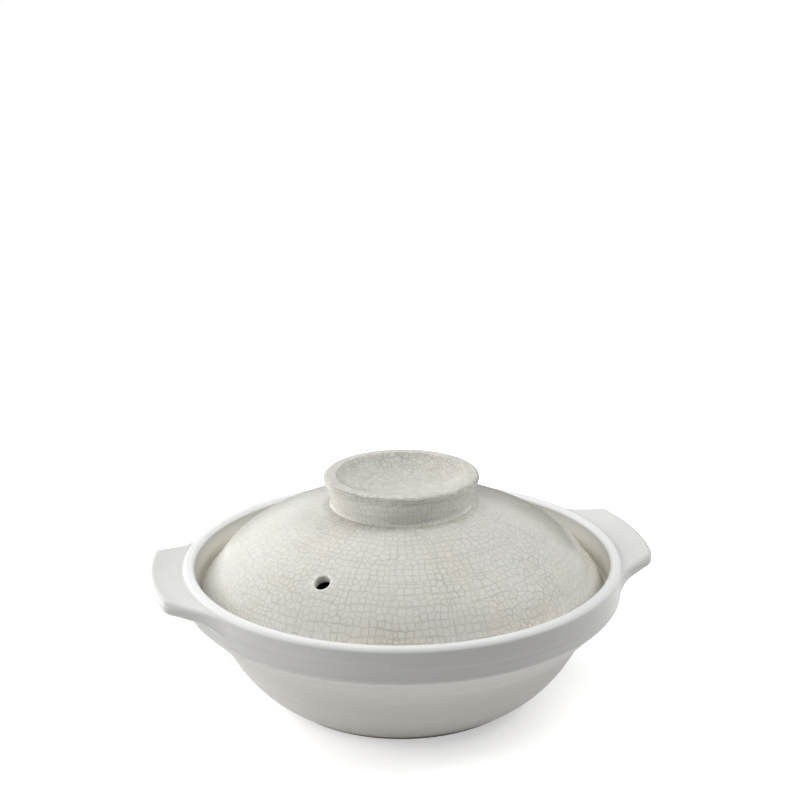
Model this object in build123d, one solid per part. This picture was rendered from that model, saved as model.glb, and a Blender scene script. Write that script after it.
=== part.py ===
from build123d import *
import math
import os

# Donabe clay pot with a domed lid, in millimetres.
# It stands on z = 0 with its axis on Z, its two lug handles lie along X,
# and the steam hole of the lid looks towards -X and -Y.

# Upright rim band of the bowl
rim_radius = 131.1
rim_height = 82.4
rim_wall = 6.8
band_height = 19.4
lip_round = 1.6
shoulder_round = 4.5

# Inner ledge that the lid rests on
seat_height = 63.5
seat_width = 7.8
seat_draft = 0.7
seat_round = 1.2
throat_round = 4.0

# Belly and floor of the bowl
belly_wall = 6.5
floor_wall = 6.4
floor_radius = 64.0

# Belly outline as (share of the radius, share of the height) from the foot's shelf to the shoulder
belly_shares = [(0.153, 0.10), (0.308, 0.233), (0.476, 0.433), (0.612, 0.633), (0.81, 0.833)]

# Turned foot ring
foot_radius = 77.0
foot_height = 3.0
foot_width = 9.0
foot_shelf = 3.2
foot_recess = 2.4
foot_round = 0.8

# Lug handles
lug_reach = 19.0
lug_tip_half_width = 39.7
lug_side_angle = 31.8
lug_corner_round = 8.1
lug_flare_round = 55.0
lug_flare_inset = 1.5
lug_edge_round = 2.6
lug_groove_depth = 2.9
lug_tip_rise = 1.6
lug_tip_thickness = 8.8
lug_root_depth = 14.1
lug_hollow_share = 0.55
lug_hollow_depth = 0.95

# Domed lid
lid_gap = 2.3
lid_wall = 6.0
lid_edge_height = 1.6
lid_edge_round = 1.2
dome_height = 51.8

# Dome outline as (share of the lid's radius, share of the dome's height) from the edge to the knob's seat
dome_shares = [(0.9645, 0.16), (0.899, 0.357), (0.79, 0.60), (0.669, 0.757), (0.53, 0.884)]

# Steam hole
steam_hole_diameter = 8.8
steam_hole_distance = 90.7
steam_hole_bearing = -131.9
steam_hole_round = 0.8

# Ring knob with a dished top
knob_height = 17.9
knob_base_radius = 41.8
knob_seat_margin = 1.7
knob_lip_radius = 46.0
knob_lip_width = 6.9
knob_lip_round = 1.5
knob_lip_depth = 3.4
knob_waist_share = 0.45
knob_waist_depth = 0.7
knob_dish_depth = 9.2
knob_dish_share = 0.55
knob_dish_depth_share = 0.80

# Places worked out from the sizes above
shoulder_height = rim_height - band_height
rim_inner_radius = rim_radius - rim_wall
seat_outer_radius = rim_inner_radius - seat_draft
seat_inner_radius = seat_outer_radius - seat_width
lid_radius = seat_outer_radius - lid_gap
lid_top_height = seat_height + dome_height
knob_seat_radius = knob_base_radius + knob_seat_margin
lug_tip_radius = rim_radius + lug_reach


def at(radius, height):
    return Vector(radius, 0, height)


def parallel(points, distance):
    # each point moved to the left of the way that the outline runs there
    moved = []
    for before, here, after in zip(points, points[1:], points[2:]):
        along = (after - before).normalized()
        moved.append(here + Vector(-along.Z, 0, along.X) * distance)
    return moved


def turned(edges):
    # solid of revolution about Z from a closed outline in the XZ plane
    return revolve(make_face(Wire(edges)), Axis.Z)


def rings(solid, radius, height):
    # circular edges of a turned solid at one radius and height
    def matches(edge):
        return (
            edge.geom_type == GeomType.CIRCLE
            and math.isclose(edge.radius, radius, rel_tol=1e-6)
            and math.isclose(edge.arc_center.Z, height, rel_tol=1e-6, abs_tol=1e-6)
        )

    return [edge for edge in solid.edges() if matches(edge)]


def build_bowl():
    # outer side, from the foot up to the shoulder
    shelf = at(foot_radius + foot_shelf, foot_height)
    shoulder = at(rim_radius, shoulder_height)
    span = shoulder - shelf
    belly = [shelf]
    belly += [shelf + Vector(span.X * r, 0, span.Z * h) for r, h in belly_shares]
    belly += [shoulder]

    # inner side, a wall's thickness inside the belly, from the throat below the ledge down to the floor
    floor_height = foot_recess + floor_wall
    floor_edge = at(floor_radius, floor_height)
    ledge_edge = at(seat_inner_radius, seat_height)
    inner = parallel(belly, belly_wall)
    throat = at(seat_inner_radius, inner[-1].Z)
    inner_down = [throat] + inner[-2::-1] + [floor_edge]
    throat_slope = belly[-2] - belly[-1]

    foot_inner_radius = foot_radius - foot_width
    outline = [
        Line(at(0, foot_recess), at(foot_inner_radius, foot_recess)),
        Line(at(foot_inner_radius, foot_recess), at(foot_inner_radius, 0)),
        Line(at(foot_inner_radius, 0), at(foot_radius, 0)),
        Line(at(foot_radius, 0), at(foot_radius, foot_height)),
        Line(at(foot_radius, foot_height), shelf),
        Spline(*belly),
        Line(shoulder, at(rim_radius, rim_height)),
        Line(at(rim_radius, rim_height), at(rim_inner_radius, rim_height)),
        Line(at(rim_inner_radius, rim_height), at(seat_outer_radius, seat_height)),
        Line(at(seat_outer_radius, seat_height), ledge_edge),
        Line(ledge_edge, throat),
        Spline(*inner_down, tangents=[throat_slope, (-1, 0, 0)]),
        Line(floor_edge, at(0, floor_height)),
        Line(at(0, floor_height), at(0, foot_recess)),
    ]
    bowl = turned(outline)
    lip = rings(bowl, rim_radius, rim_height) + rings(bowl, rim_inner_radius, rim_height)
    bowl = fillet(lip, lip_round)
    bowl = fillet(rings(bowl, rim_radius, shoulder_height), shoulder_round)
    ledge = rings(bowl, seat_outer_radius, seat_height) + rings(bowl, seat_inner_radius, seat_height)
    bowl = fillet(ledge, seat_round)
    bowl = fillet(rings(bowl, seat_inner_radius, throat.Z), throat_round)
    foot = rings(bowl, foot_radius, 0) + rings(bowl, foot_inner_radius, 0)
    return fillet(foot, foot_round)


def lug_slab():
    # ring with the lug's section: hollow on top, thicker where it joins the band
    root_radius = rim_radius - lug_flare_inset - 2 * lug_edge_round
    top_root = at(root_radius, rim_height - lug_groove_depth)
    top_tip = at(lug_tip_radius, rim_height + lug_tip_rise)
    under_tip = top_tip - at(0, lug_tip_thickness)
    under_root = at(root_radius, rim_height - lug_root_depth)
    inward = at(lug_reach, 0)
    hollow = top_root + (top_tip - top_root) * lug_hollow_share - at(0, lug_hollow_depth)
    arch = under_root + (under_tip - under_root) * lug_hollow_share + at(0, lug_hollow_depth)
    outline = [
        Line(under_root - inward, under_root),
        ThreePointArc(under_root, arch, under_tip),
        Line(under_tip, top_tip),
        ThreePointArc(top_tip, hollow, top_root),
        Line(top_root, top_root - inward),
        Line(top_root - inward, under_root - inward),
    ]
    return turned(outline)


def lug_plan():
    # plan of the lug, with rounded corners and sides that flare into the rim
    rim_base_radius = rim_radius - lug_flare_inset
    corner_x = math.sqrt(lug_tip_radius**2 - lug_tip_half_width**2)
    corner = Vector(corner_x, lug_tip_half_width)
    widening = Vector(-1, 0).rotate(Axis.Z, -lug_side_angle)

    # each side runs on inside the rim to where it is nearest the axis
    root = corner - widening * corner.dot(widening)
    lug = make_face(
        Wire(
            [
                Line((root.X, -root.Y), (corner.X, -corner.Y)),
                ThreePointArc((corner.X, -corner.Y), (lug_tip_radius, 0), corner),
                Line(corner, root),
                Line(root, (root.X, -root.Y)),
            ]
        )
    )
    plan = lug + Circle(rim_base_radius)

    def distance(vertex):
        return math.hypot(vertex.X, vertex.Y)

    roots = [v for v in plan.vertices() if v.X > 0 and math.isclose(distance(v), rim_base_radius)]
    plan = fillet(roots, lug_flare_round)
    corners = [v for v in plan.vertices() if math.isclose(distance(v), lug_tip_radius)]
    return fillet(corners, lug_corner_round)


def build_handle():
    # plan cut out of the ring, edges rounded, then cut back to the face of the rim band
    blank_depth = 2 * lug_root_depth
    blank = Pos(0, 0, rim_height - blank_depth) * extrude(lug_plan(), 2 * blank_depth, dir=(0, 0, 1))
    cut_x = lug_tip_radius / 2
    half = Pos(cut_x + lug_tip_radius / 2, 0, rim_height) * Box(lug_tip_radius, 2 * rim_radius, 2 * blank_depth)
    lug = lug_slab() & blank & half
    middle = rim_height + lug_tip_rise - lug_tip_thickness / 2

    def is_outer_rim(edge):
        ends = [edge @ 0, edge @ 1]
        flat = all((end.Z > middle) == (ends[0].Z > middle) for end in ends)
        away_from_cut = (edge @ 0.5).X > cut_x + lug_edge_round
        outside = math.hypot((edge @ 0.5).X, (edge @ 0.5).Y) > rim_radius - 2 * lug_flare_inset
        return flat and away_from_cut and outside

    lug = fillet([edge for edge in lug.edges() if is_outer_rim(edge)], lug_edge_round)
    core = Pos(0, 0, rim_height) * Cylinder(rim_radius, 4 * blank_depth)
    return lug - core


def point_on(curve, radius):
    # where a dome outline that climbs inwards passes this radius
    low, high = 0.0, 1.0
    while high - low > 1e-9:
        middle = (low + high) / 2
        if (curve @ middle).X > radius:
            low = middle
        else:
            high = middle
    return curve @ low, curve % low


def build_dome():
    # outer side from the edge up to the knob's seat, and the inner side a wall's thickness below it
    edge_top = at(lid_radius, seat_height + lid_edge_height)
    knob_seat = at(knob_seat_radius, lid_top_height)
    outer = [edge_top]
    outer += [at(lid_radius * r, seat_height + dome_height * h) for r, h in dome_shares]
    outer += [knob_seat]
    dome_curve = Spline(*outer, tangents=[(0, 0, 1), knob_seat - outer[-2]])

    inner = parallel(outer, lid_wall)
    skirt_radius = lid_radius - lid_wall
    skirt_top = at(skirt_radius, seat_height + lid_edge_height)
    crown = at(0, lid_top_height - lid_wall)
    outline = [
        Line(at(skirt_radius, seat_height), at(lid_radius, seat_height)),
        Line(at(lid_radius, seat_height), edge_top),
        dome_curve,
        Line(knob_seat, at(0, lid_top_height)),
        Line(at(0, lid_top_height), crown),
        Spline(crown, *inner[::-1], skirt_top, tangents=[(1, 0, 0), outer[0] - outer[1]]),
        Line(skirt_top, at(skirt_radius, seat_height)),
    ]
    dome = turned(outline)
    edge = rings(dome, lid_radius, seat_height) + rings(dome, skirt_radius, seat_height)
    dome = fillet(edge, lid_edge_round)

    # the steam hole is bored square to the dome's surface, and both its rims are rounded
    place, along = point_on(dome_curve, steam_hole_distance)
    square = Vector(-along.Z, 0, along.X)
    bore_radius = steam_hole_diameter / 2
    bore = Plane(origin=place, z_dir=square) * Cylinder(bore_radius, 4 * lid_wall)
    dome -= Rot(0, 0, steam_hole_bearing) * bore

    def is_bore(face):
        return face.geom_type == GeomType.CYLINDER and math.isclose(face.radius, bore_radius, rel_tol=1e-6)

    bore_edges = [edge for face in dome.faces() if is_bore(face) for edge in face.edges()]
    rims = [edge for edge in bore_edges if edge.is_closed]
    return fillet(rims, steam_hole_round)


def build_knob():
    # turned ring: waisted wall, rounded lip and a dish in the top
    lip_top = lid_top_height + knob_height
    base = at(knob_base_radius, lid_top_height)
    lip_under = at(knob_lip_radius, lip_top - knob_lip_depth)
    waist = base + (lip_under - base) * knob_waist_share - at(knob_waist_depth, 0)
    lip_outer = at(knob_lip_radius, lip_top)
    lip_inner = at(knob_lip_radius - knob_lip_width, lip_top)
    dish_floor = at(0, lip_top - knob_dish_depth)
    dish_side = at(lip_inner.X * knob_dish_share, lip_top - knob_dish_depth * knob_dish_depth_share)
    outline = [
        Line(at(0, lid_top_height), base),
        ThreePointArc(base, waist, lip_under),
        Line(lip_under, lip_outer),
        Line(lip_outer, lip_inner),
        Spline(lip_inner, dish_side, dish_floor, tangents=[(-1, 0, -1), (-1, 0, 0)]),
        Line(dish_floor, at(0, lid_top_height)),
    ]
    knob = turned(outline)
    lip = rings(knob, knob_lip_radius, lip_top) + rings(knob, lip_inner.X, lip_top)
    return fillet(lip, knob_lip_round)


def save(shape, node):
    shape.label = node
    export_step(shape, f"parts/{node}.step")


os.makedirs("parts", exist_ok=True)
handle = build_handle()
save(build_bowl(), "pot_bowl")
save(handle, "handle_right")
save(Rot(0, 0, 180) * handle, "handle_left")
save(build_dome(), "lid_dome")
save(build_knob(), "lid_knob")
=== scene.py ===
import bpy
import numpy as np
from mathutils import Matrix, Vector


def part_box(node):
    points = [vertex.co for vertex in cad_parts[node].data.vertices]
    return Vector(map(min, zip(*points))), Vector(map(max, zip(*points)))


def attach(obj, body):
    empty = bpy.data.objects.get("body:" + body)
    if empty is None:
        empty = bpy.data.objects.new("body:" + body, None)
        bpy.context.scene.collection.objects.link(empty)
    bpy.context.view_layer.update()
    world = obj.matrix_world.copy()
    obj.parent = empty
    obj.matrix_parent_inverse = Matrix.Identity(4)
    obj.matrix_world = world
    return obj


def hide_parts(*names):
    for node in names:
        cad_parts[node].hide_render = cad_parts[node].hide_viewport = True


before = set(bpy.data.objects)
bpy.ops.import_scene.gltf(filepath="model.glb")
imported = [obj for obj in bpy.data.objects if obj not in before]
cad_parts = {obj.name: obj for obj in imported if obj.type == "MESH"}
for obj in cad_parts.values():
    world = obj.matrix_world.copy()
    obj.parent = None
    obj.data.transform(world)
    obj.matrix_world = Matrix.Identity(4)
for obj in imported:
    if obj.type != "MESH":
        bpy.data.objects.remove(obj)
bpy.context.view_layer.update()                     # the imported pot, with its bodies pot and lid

mm = 0.001                            # shapes are worked out in millimetres


# Curves and meshes


def nodeBox(node):  # lowest and highest corners of a CAD node, in millimetres
    low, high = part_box(node)
    return np.array(low) / mm, np.array(high) / mm


def lengthsAlong(line):  # running length at each point of a line
    return np.r_[0, np.cumsum(np.hypot(*np.diff(line, axis=0).T))]


def pointAt(line, lengths):  # points of a line at running lengths
    along = lengthsAlong(line)
    return np.stack([np.interp(lengths, along, line[:, axis]) for axis in (0, 1)], axis=-1)


def unit(way):
    return np.asarray(way, float) / np.linalg.norm(way)


def straight(start, end, gap):  # evenly spaced points from start to end
    start, end = np.asarray(start, float), np.asarray(end, float)
    steps = max(int(np.ceil(np.linalg.norm(end - start) / gap)), 1)
    return start + np.linspace(0, 1, steps + 1)[:, None] * (end - start)


def splineThrough(points, gap, startWay=None, endWay=None):
    # Cubic pieces between the points, with the chord length as parameter. The slopes at the points solve
    # one linear system that makes the bending continuous; an end with no given way is left unbent.
    points = np.asarray(points, float)
    spans = np.hypot(*np.diff(points, axis=0).T)[:, None]
    rises = np.diff(points, axis=0) / spans
    last = len(points) - 1
    inner = np.arange(1, last)
    system, wanted = np.zeros((last + 1, last + 1)), np.zeros((last + 1, 2))
    system[inner, inner - 1] = 1 / spans[:-1, 0]
    system[inner, inner] = 2 / spans[:-1, 0] + 2 / spans[1:, 0]
    system[inner, inner + 1] = 1 / spans[1:, 0]
    wanted[inner] = 3 * (rises[:-1] / spans[:-1] + rises[1:] / spans[1:])
    for end, beside, way, rise in ((0, 1, startWay, rises[0]), (last, last - 1, endWay, rises[-1])):
        system[end, end] = 1 if way is not None else 2
        system[end, beside] = 0 if way is not None else 1
        wanted[end] = unit(way) if way is not None else 3 * rise
    slopes = np.linalg.solve(system, wanted)
    knots = np.r_[0, np.cumsum(spans)]
    steps = int(np.ceil(knots[-1] / gap))
    places = np.linspace(0, knots[-1], steps + 1)
    piece = np.clip(np.searchsorted(knots, places, side="right") - 1, 0, last - 1)
    span = spans[piece]
    t = (places - knots[piece])[:, None] / span
    return ((2 * t**3 - 3 * t**2 + 1) * points[piece] + (3 * t**2 - 2 * t**3) * points[piece + 1]
            + span * ((t**3 - 2 * t**2 + t) * slopes[piece] + (t**3 - t**2) * slopes[piece + 1]))


def offsetPoints(points, distance):  # inner points of an outline, moved to its left
    points = np.asarray(points, float)
    along = points[2:] - points[:-2]
    along /= np.hypot(*along.T)[:, None]
    return points[1:-1] + distance * np.stack([-along[:, 1], along[:, 0]], axis=1)


def joinStrokes(strokes, rounds, arcSteps=8):
    # One outline from strokes laid end to end. Each corner is cut back by its radius times the tangent of
    # half the turn, and closed by a cubic whose handles are 4/3 tan(turn / 4) radii, close to a true arc.
    ways = [(unit(s[1] - s[0]), unit(s[-1] - s[-2])) for s in strokes]
    cuts = [[0.0, 0.0] for stroke in strokes]
    for k, radius in enumerate(rounds):
        turn = np.arccos(np.clip(ways[k][1] @ ways[k + 1][0], -1, 1))
        cuts[k][1] = cuts[k + 1][0] = radius * np.tan(turn / 2)
    kept = []
    for stroke, (head, tail) in zip(strokes, cuts):
        along = lengthsAlong(stroke)
        inside = (along > head + 0.02) & (along < along[-1] - tail - 0.02)
        ends = pointAt(stroke, np.array([head, along[-1] - tail]))
        kept.append(np.vstack([ends[:1], stroke[inside], ends[1:]]))
    outline = [kept[0]]
    t = np.linspace(0, 1, arcSteps + 1)[1:-1, None]
    for k, radius in enumerate(rounds):
        before, after = kept[k], kept[k + 1]
        if radius == 0:
            outline.append(after[1:])
            continue
        leave, arrive = unit(before[-1] - before[-2]), unit(after[1] - after[0])
        turn = np.arccos(np.clip(leave @ arrive, -1, 1))
        handle = radius * 4 / 3 * np.tan(turn / 4)
        first, second = before[-1] + leave * handle, after[0] - arrive * handle
        arc = ((1 - t)**3 * before[-1] + 3 * t * (1 - t)**2 * first
               + 3 * t**2 * (1 - t) * second + t**3 * after[0])
        outline += [arc, after]
    return np.vstack(outline)


def turned(line, angles, stray=0.0):
    # A line carried round the axis: a ring of points for each of its points, the stray added to its radius.
    radii = np.broadcast_to(line[:, :1] + stray, (len(line), len(angles)))
    heights = np.broadcast_to(line[:, 1:], radii.shape)
    return np.stack([radii * np.cos(angles), radii * np.sin(angles), heights], axis=-1)


def ramp(values):  # 0 where they are below 0, 1 where they are above 1
    return np.clip(values, 0, 1)


def numbered(grid, first=0):  # a vertex number for each point of a grid
    return first + np.arange(grid.shape[0] * grid.shape[1]).reshape(grid.shape[:2])


def gridFaces(index, closed=True):  # quads of a grid of vertex numbers, closed round its columns
    ahead = np.roll(index, -1, axis=1)
    faces = np.stack([index[:-1], index[1:], ahead[1:], ahead[:-1]], axis=-1)
    return (faces if closed else faces[:, :-1]).reshape(-1, 4)


def fanFaces(pole, ring, outward):  # triangles from a pole to a ring
    ahead = np.roll(ring, -1)
    centre = np.full_like(ring, pole)
    order = [centre, ring, ahead] if outward else [centre, ahead, ring]
    return np.stack(order, axis=-1)


def cappedPoints(line, grid):  # a turned line's grid between the line's two ends, which lie on the axis
    return np.vstack([[0, 0, line[0, 1]], grid.reshape(-1, 3), [0, 0, line[-1, 1]]])


def cappedFaces(index, quads):  # a fan round the first end, the quads, and a fan round the last end
    return (fanFaces(0, index[0], True).tolist() + quads.tolist()
            + fanFaces(index[-1, -1] + 1, index[-1], False).tolist())


def addPiece(name, points, faces, material, body, node, glazeMap=None, marks={}):
    # A smooth mesh from arrays. Its map and marks hold one value for each point.
    mesh = bpy.data.meshes.new(name)
    mesh.from_pydata((points * mm).tolist(), [], faces)
    mesh.polygons.foreach_set("use_smooth", np.ones(len(mesh.polygons), bool))
    if glazeMap is not None:
        corner = np.zeros(len(mesh.loops), int)
        mesh.loops.foreach_get("vertex_index", corner)
        mesh.uv_layers.new(name="glazeMap").data.foreach_set("uv", glazeMap[corner].ravel())
    for mark, values in marks.items():
        mesh.attributes.new(mark, "FLOAT", "POINT").data.foreach_set("value", values)
    mesh.materials.append(material)
    mesh.update()
    piece = bpy.data.objects.new(name, mesh)
    bpy.context.scene.collection.objects.link(piece)
    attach(piece, body)
    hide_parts(node)
    print("made", name, "with", len(points), "points")


# Materials


def linear(colour):  # sRGB hex to the linear colour that a shader wants
    parts = [int(colour[k:k + 2], 16) / 255 for k in (1, 3, 5)]
    return [p / 12.92 if p <= 0.04045 else ((p + 0.055) / 1.055)**2.4 for p in parts] + [1.0]


def addNode(tree, kind, settings={}, inputs={}):
    # A node with its settings, values and links. A bare word as settings is its operation. Inputs are a list
    # in the sockets' order, or go by name or number, and a node given as one stands for its first output.
    node = tree.nodes.new("ShaderNode" + kind)
    settings = {"operation": settings} if isinstance(settings, str) else settings
    for name, value in settings.items():
        setattr(node, name, value)
    for socket, value in enumerate(inputs) if isinstance(inputs, list) else inputs.items():
        value = value.outputs[0] if isinstance(value, bpy.types.Node) else value
        if isinstance(value, bpy.types.NodeSocket):
            tree.links.new(value, node.inputs[socket])
        else:
            node.inputs[socket].default_value = value
    return node


def newMaterial(name):
    material = bpy.data.materials.new(name)
    material.use_nodes = True
    material.node_tree.nodes.clear()
    return material, material.node_tree


crackle = dict(
    # The pool colour is the darker beige of pooled glaze, and it also paints shade in the lid's creases and
    # recesses.
    ivory="#d9d8d2", cream="#d9d5ca", poolAndShade="#b3afa4", crackStain="#7d7b77",
    cell=4.1, course=24.6,            # mm between cracks, and between the courses that the cells lie in
    longRing=13.0, spokes=26,         # mm between long cracks that run round, and number that run outwards
    evenJitter=0.5, looseJitter=0.9, longJitter=0.8,  # how far cracks leave an even spacing, from 0 to 1
    crackWidth=0.5, haloWidth=1.8,    # mm, whole width of a stained crack and of its soft edge
    crackShade=0.36, haloShade=0.17,  # share of stain in each
    wander=3.2, tremble=0.9,          # mm that the cracks stray, slowly and quickly
    middle=6.0, longFrom=30.0,        # mm from the middle that long cracks begin at, and reach full strength
    evenPlace=(-14.0, -90.0),         # where on the glaze map the cells are squarest, in mm
    evenFrom=43.4, evenTo=93.0, evenBlur=40.0,      # mm from there that they loosen in, blurred by a cloud
    palePlace=(-95.0, 45.0), paleReach=90.0, paleShare=0.42,  # where they took least stain, and what share
    warmCell=0.12, warmFrom=0.38, warmTo=0.8,       # share of a cell's own warmth, and levels of warm patches
    cellDark=0.98, cellLight=1.02,    # how single cells differ
    paleEndMark=-0.5, darkEndMark=0.75, paleEndStain=0.7, darkEndStain=1.3,  # cracks show more at the dark end of the mark, where glaze pooled and shade is painted, less where light is painted
    cellNumber=31.3, roundNumber=7.0, outwardNumber=3.0,  # any numbers: they only shift a pattern
    roughness=0.2, stainRoughness=0.3,
    relief=0.08, wave=1.5, bump=0.35,  # depth of a crack in mm, waves in depths of a crack, strength
)
glazeClouds = dict(                   # mm across a cloud, its detail, and a number that shifts it
    roundSlow=(24.0, 2.0, 1.0), roundQuick=(6.0, 2.0, 6.0),  # straying of the cracks that run round
    outSlow=(24.0, 2.0, 2.0), outQuick=(6.0, 2.0, 7.0),      # and of those that run outwards
    looseness=(30.0, 2.0, 0.0), warmth=(42.0, 3.0, 0.0), relief=(9.0, 2.0, 0.0),
    cellCracks=(7.0, 2.0, 0.0), longRounds=(14.0, 2.0, 3.0), longOutwards=(14.0, 2.0, 9.0),
    stain=(26.0, 2.0, 0.0), poolAndShade=(6.0, 2.0, 0.0),
)
glazePatches = dict(                  # levels of a cloud that a patch starts and ends at, and its share there
    cellCracks=(0.3, 0.66, 0.45, 1.0), longRounds=(0.4, 0.62, 0.0, 1.0), longOutwards=(0.4, 0.62, 0.0, 1.0),
    stain=(0.32, 0.66, 0.7, 1.1), poolAndShade=(0.3, 0.7, 0.45, 1.0),
)


def crackleGlazedStoneware():
    # Stoneware dipped in ivory glaze, fired glossy and crazed as it cooled, the cracks rubbed with stain.
    # It gives the eye a pale, soft net of 4 mm cells under a wet-looking skin, warmer where glaze pooled.
    # The same mark paints shade into the dish, round the knob's foot and at the lid's edge, and paints light
    # on the knob's wall and round the steam hole.
    # The cells lie in courses round the middle, and a few long cracks run round them and outwards.
    # Real cracks are finer than a hair; they are drawn 0.5 mm wide so that they show at this distance.
    material, tree = newMaterial("crackleGlazedStoneware")
    c = crackle
    smooth = {"interpolation_type": "SMOOTHSTEP"}
    toEdge = {"feature": "DISTANCE_TO_EDGE"}
    mixed = {"data_type": "RGBA"}
    onMap = addNode(tree, "UVMap", {"uv_map": "glazeMap"})
    inClay = addNode(tree, "TexCoord").outputs["Object"]
    clouds = {name: addNode(tree, "TexNoise", {"noise_dimensions": "4D"},
                            {"Vector": inClay, "W": number, "Scale": 1 / (size * mm), "Detail": detail})
              for name, (size, detail, number) in glazeClouds.items()}
    patches = {name: addNode(tree, "MapRange", smooth, [clouds[name], *levels])
               for name, levels in glazePatches.items()}

    def stray(slow, quick):  # mm by which a crack leaves its even course
        bend = addNode(tree, "Math", "MULTIPLY_ADD", [clouds[slow], 2 * c["wander"], -c["wander"]])
        return addNode(tree, "Math", "MULTIPLY_ADD", [clouds[quick], 2 * c["tremble"], bend])

    # How far out and how far round a place is, after straying, and which course it lies in.
    sides = addNode(tree, "SeparateXYZ", {}, [onMap])
    out = addNode(tree, "VectorMath", "LENGTH", [onMap]).outputs["Value"]
    front = addNode(tree, "Math", "MULTIPLY", [sides.outputs["Y"], -1.0])
    bearing = addNode(tree, "Math", "ARCTAN2", [sides.outputs["X"], front])
    strayed = addNode(tree, "Math", "ADD", [out, stray("roundSlow", "roundQuick")])
    reach = addNode(tree, "Math", "MAXIMUM", [strayed, 0.0])
    radius = addNode(tree, "Math", "MAXIMUM", [out, c["middle"]])
    swing = addNode(tree, "Math", "DIVIDE", [stray("outSlow", "outQuick"), radius])
    turn = addNode(tree, "Math", "ADD", [bearing, swing])
    courses = addNode(tree, "Math", "DIVIDE", [reach, c["course"]])
    course = addNode(tree, "Math", "FLOOR", [courses])

    # The net of cells, squarest in one place. A course has as many cells round as fit along its middle.
    evenest = addNode(tree, "VectorMath", "DISTANCE", [onMap, (*c["evenPlace"], 0.0)]).outputs["Value"]
    blurred = addNode(tree, "Math", "MULTIPLY_ADD", [clouds["looseness"], c["evenBlur"], evenest])
    jitter = addNode(tree, "MapRange", smooth,
                     [blurred, c["evenFrom"], c["evenTo"], c["evenJitter"], c["looseJitter"]])
    halfway = addNode(tree, "Math", "ADD", [course, 0.5])
    count = addNode(tree, "Math", "MULTIPLY", [halfway, c["course"] / c["cell"]])
    counted = addNode(tree, "Math", "MULTIPLY", [turn, count])
    across = addNode(tree, "Math", "MULTIPLY_ADD", [course, c["cellNumber"], counted])
    outward = addNode(tree, "Math", "DIVIDE", [reach, c["cell"]])
    place = addNode(tree, "CombineXYZ", {}, [across, outward])
    net = {"Vector": place, "Scale": 1.0, "Randomness": jitter}
    edgeShare = addNode(tree, "TexVoronoi", {**toEdge, "voronoi_dimensions": "2D"}, net)
    edge = addNode(tree, "Math", "MULTIPLY", [edgeShare, c["cell"]])
    cells = addNode(tree, "TexVoronoi", {"voronoi_dimensions": "2D"}, net)

    # Long cracks: unevenly spaced rings and spokes, and a ring where two courses meet. Distances in mm.
    rings = addNode(tree, "Math", "DIVIDE", [reach, c["longRing"]])
    spokes = addNode(tree, "Math", "MULTIPLY", [turn, c["spokes"] / 2 / np.pi])
    long = []
    for along, number in ((rings, c["roundNumber"]), (spokes, c["outwardNumber"])):
        shifted = addNode(tree, "Math", "ADD", [along, number])
        long.append(addNode(tree, "TexVoronoi", {**toEdge, "voronoi_dimensions": "1D"},
                            {"W": shifted, "Scale": 1.0, "Randomness": c["longJitter"]}))
    ringAway = addNode(tree, "Math", "MULTIPLY", [long[0], c["longRing"]])
    meeting = addNode(tree, "Math", "PINGPONG", [reach, c["course"] / 2])
    ringAway = addNode(tree, "Math", "MINIMUM", [ringAway, meeting])
    spokeAway = addNode(tree, "Math", "MULTIPLY", [long[1], out])
    spokeAway = addNode(tree, "Math", "MULTIPLY", [spokeAway, 2 * np.pi / c["spokes"]])

    def stained(distance, strength):  # a crack with its soft edge, at a distance in mm
        crack = addNode(tree, "MapRange", smooth,
                        [distance, 0.05 * c["crackWidth"], 0.8 * c["crackWidth"], c["crackShade"], 0.0])
        halo = addNode(tree, "MapRange", smooth, [distance, 0.0, 0.5 * c["haloWidth"], c["haloShade"], 0.0])
        both = addNode(tree, "Math", "ADD", [crack, halo])
        return addNode(tree, "Math", "MULTIPLY", [both, strength])

    small = stained(edge, patches["cellCracks"])
    large = addNode(tree, "Math", "MAXIMUM", [stained(ringAway, patches["longRounds"]),
                                              stained(spokeAway, patches["longOutwards"])])
    opening = addNode(tree, "MapRange", smooth, [out, c["middle"], c["longFrom"], 0.0, 1.0])
    large = addNode(tree, "Math", "MULTIPLY", [large, opening])
    cracks = addNode(tree, "Math", "MAXIMUM", [small, large])

    # How much stain they hold: less round the palest place, more where the glaze pooled and where shade is
    # painted, less where light is painted.
    palest = addNode(tree, "VectorMath", "DISTANCE", [onMap, (*c["palePlace"], 0.0)]).outputs["Value"]
    pale = addNode(tree, "MapRange", smooth, [palest, 0.0, c["paleReach"], c["paleShare"], 1.0])
    poolAndPaintedLight = addNode(tree, "Attribute", {"attribute_name": "poolAndPaintedLight"}).outputs["Fac"]
    poolAndPaintedLightStain = addNode(tree, "MapRange", {},
                        [poolAndPaintedLight, c["paleEndMark"], c["darkEndMark"], c["paleEndStain"], c["darkEndStain"]])
    stain = cracks
    for share in (patches["stain"], pale, poolAndPaintedLightStain):
        stain = addNode(tree, "Math", "MULTIPLY", [stain, share])

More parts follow.
